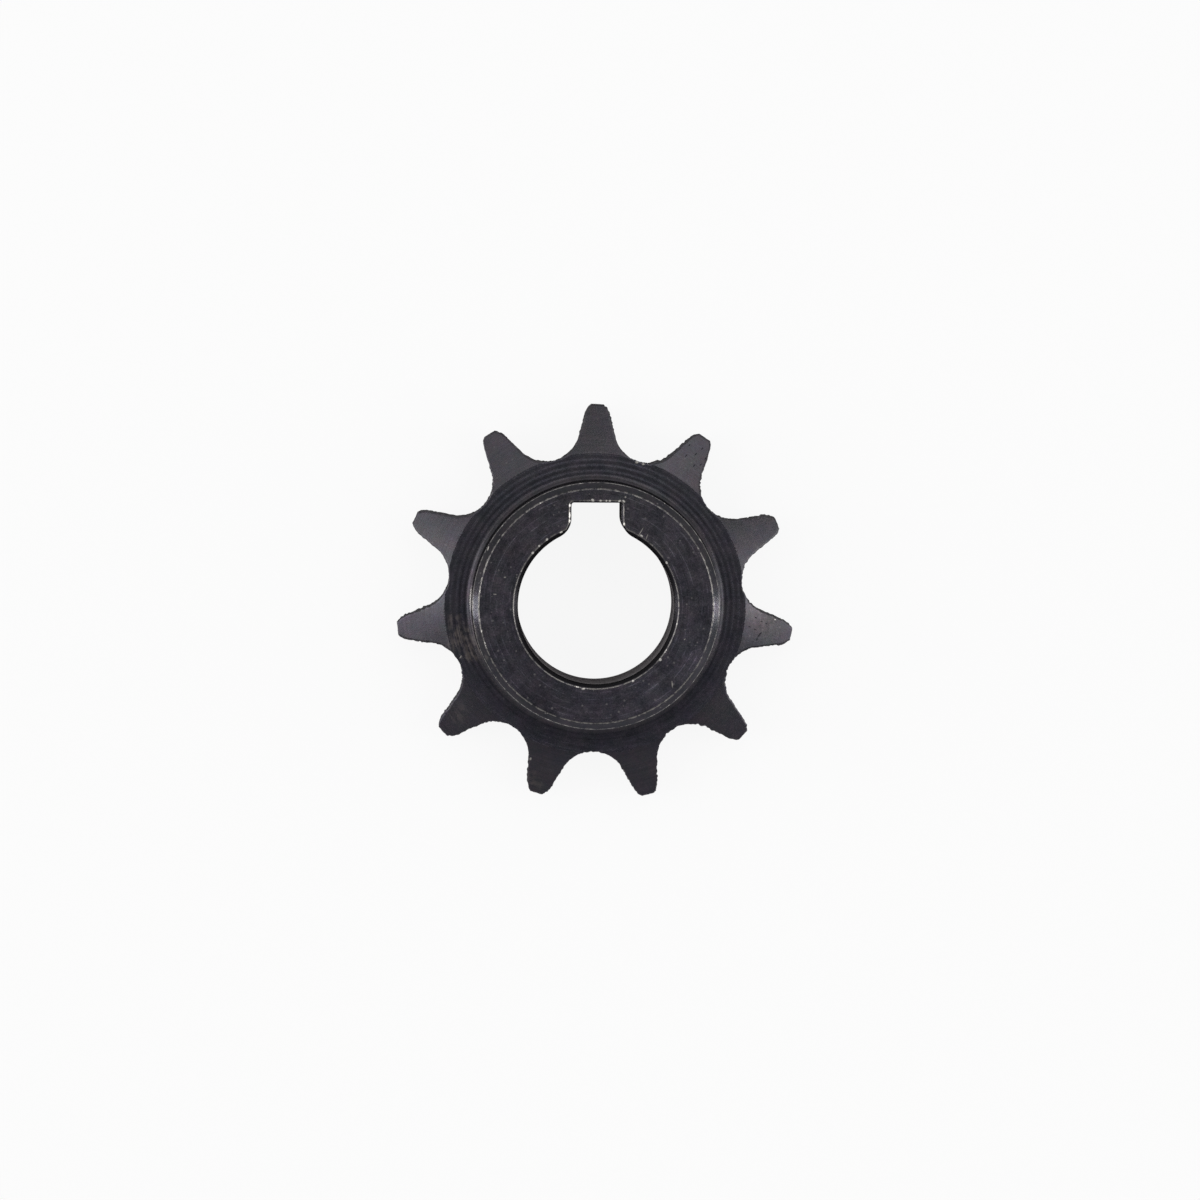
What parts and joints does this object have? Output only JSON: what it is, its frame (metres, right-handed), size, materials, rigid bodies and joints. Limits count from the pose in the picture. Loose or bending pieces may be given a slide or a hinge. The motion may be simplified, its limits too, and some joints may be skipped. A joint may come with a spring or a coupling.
{
  "type": "chain sprocket",
  "caption": "Sprocket for a roller chain, with bevelled teeth, a short hub on one side and a keyed bore, which carries drive between a shaft and a chain.",
  "frame": {"origin": "on the bore's axis, in the middle of the toothed plate's thickness, the plane the chain runs in", "axes": "+Z along the bore from the plate to the hub, +Y to the keyway and the tooth over it"},
  "size_m": [0.0488, 0.0483, 0.015],
  "materials": {
    "blackened_steel": "turned steel with a satin black oxide skin, bare and bright along worn edges"
  },
  "bodies": {
    "root": {"sprocket": "blackened_steel"}
  },
  "joints": []
}
